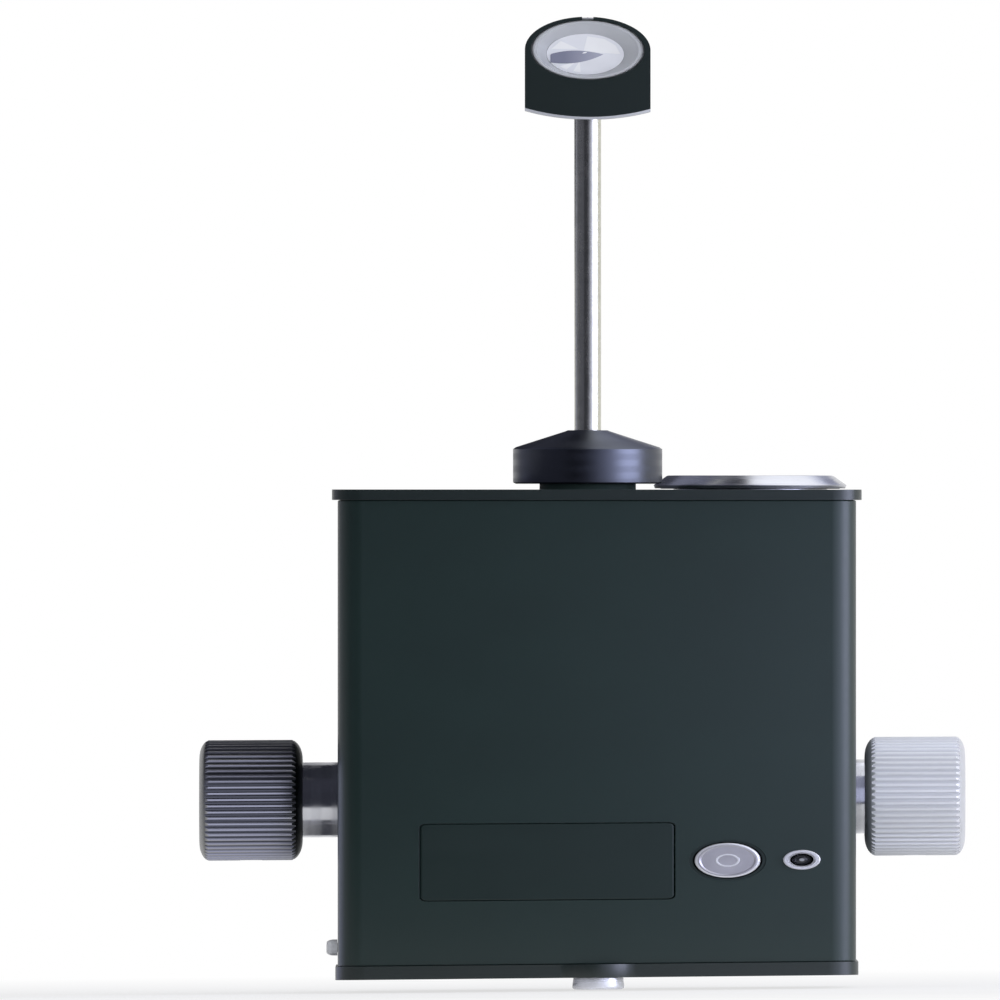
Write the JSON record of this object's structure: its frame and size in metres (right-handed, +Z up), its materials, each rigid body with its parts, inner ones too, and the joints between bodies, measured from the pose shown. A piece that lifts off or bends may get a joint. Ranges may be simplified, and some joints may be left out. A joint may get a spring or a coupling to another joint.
{
  "type": "applanation tonometer",
  "caption": "Slit-lamp eye-pressure tonometer: upright box with display, side knobs, battery cap and a tilting rod that carries a round prism over a short mounting pin.",
  "frame": {"origin": "centre of the mounting pin's end face", "axes": "+Z up along the measuring rod, -Y the front with the display, +X to the right as seen from the front"},
  "size_m": [0.0811, 0.0446, 0.1953],
  "materials": {
    "satin_black": "satin black coat",
    "black_anodised": "black anodised, satin",
    "silver_anodised": "silver anodised, satin",
    "polished_steel": "polished",
    "turned_aluminium": "turned",
    "zinc_steel": "zinc plated",
    "brass": "turned",
    "clear_acrylic": "clear, polished",
    "smoked_acrylic": "dark tint, glossy",
    "black_plastic": "moulded",
    "black_rubber": "plain",
    "green_board": "solder mask",
    "pale_plastic": "moulded",
    "cell_jacket": "printed film, plain"
  },
  "bodies": {
    "frame": {"housing": "satin_black", "top_plate": "satin_black", "base_plate": "satin_black", "neck_ring": "black_anodised", "mounting_pin": "polished_steel", "left_bush": "polished_steel", "right_bush": "polished_steel", "arm_axle": "polished_steel", "indicator_bezel": "polished_steel", "chassis": "turned_aluminium", "cap_ring": "turned_aluminium", "top_screw_1": "zinc_steel", "top_screw_2": "zinc_steel", "top_screw_3": "zinc_steel", "top_screw_4": "zinc_steel", "base_screw_1": "zinc_steel", "base_screw_2": "zinc_steel", "base_screw_3": "zinc_steel", "base_screw_4": "zinc_steel", "chassis_screw_1": "zinc_steel", "chassis_screw_2": "zinc_steel", "board_screw_1": "zinc_steel", "board_screw_2": "zinc_steel", "front_stop_pin": "zinc_steel", "rear_stop_pin": "zinc_steel", "cell_spring": "zinc_steel", "display_window": "smoked_acrylic", "indicator_led": "smoked_acrylic", "display_module": "black_plastic", "tact_switch": "black_plastic", "battery_tube": "black_plastic", "encoder_sensor": "black_plastic", "circuit_board": "green_board", "side_stud": "pale_plastic", "battery_cell": "cell_jacket"},
    "knobs": {"left_knob": "black_anodised", "right_knob": "silver_anodised", "left_grub_screw": "zinc_steel", "right_grub_screw": "zinc_steel", "knob_shaft": "polished_steel", "force_cam": "turned_aluminium", "encoder_disc": "black_plastic"},
    "plunger": {"force_plunger": "polished_steel", "force_spring": "zinc_steel"},
    "arm": {"balance_lever": "turned_aluminium", "left_arm_bearing": "polished_steel", "right_arm_bearing": "polished_steel", "counterweight": "brass", "counterweight_screw": "zinc_steel", "measuring_rod": "polished_steel", "dust_collar": "black_anodised", "prism_holder": "satin_black"},
    "prism": {"prism": "clear_acrylic"},
    "button": {"push_button": "turned_aluminium", "switch_plunger": "black_plastic"},
    "cap_contact": {"cap_contact": "brass"},
    "cap": {"battery_cap": "polished_steel", "cap_seal": "black_rubber"}
  },
  "joints": [
    {"name": "knob_turn", "type": "hinge", "parent": "frame", "child": "knobs", "pos_m": [0, 0.02225, 0.0382], "axis": [1, 0, 0], "range_deg": [0, 300]},
    {"name": "plunger_slide", "type": "slide", "parent": "frame", "child": "plunger", "axis": [0, -1, 0], "range_m": [0, 0.002], "deforming": ["force_spring"]},
    {"name": "arm_tilt", "type": "hinge", "parent": "frame", "child": "arm", "pos_m": [-0.0011, 0.014, 0.076], "axis": [1, 0, 0], "range_deg": [-2.5, 2.5], "stiffness_Nm_per_rad": 0.05},
    {"name": "prism_turn", "type": "hinge", "parent": "arm", "child": "prism", "pos_m": [-0.0011, 0.014, 0.1884], "axis": [0, 1, 0], "continuous": true},
    {"name": "button_press", "type": "slide", "parent": "frame", "child": "button", "axis": [0, 1, 0], "range_m": [0, 0.0008], "stiffness_N_per_m": 400},
    {"name": "cap_lift", "type": "slide", "parent": "frame", "child": "cap_contact", "axis": [0, 0, 1], "range_m": [0, 0.00675]},
    {"name": "cap_turn", "type": "hinge", "parent": "cap_contact", "child": "cap", "pos_m": [0.0162, 0.0265, 0.10045], "axis": [0, 0, 1], "range_deg": [0, 1620]}
  ],
  "couplings": [
    {"joint": "plunger_slide", "follows": "knob_turn", "m_per_rad": 0.00038197},
    {"joint": "cap_lift", "follows": "cap_turn", "m_per_rad": 0.00023873}
  ]
}
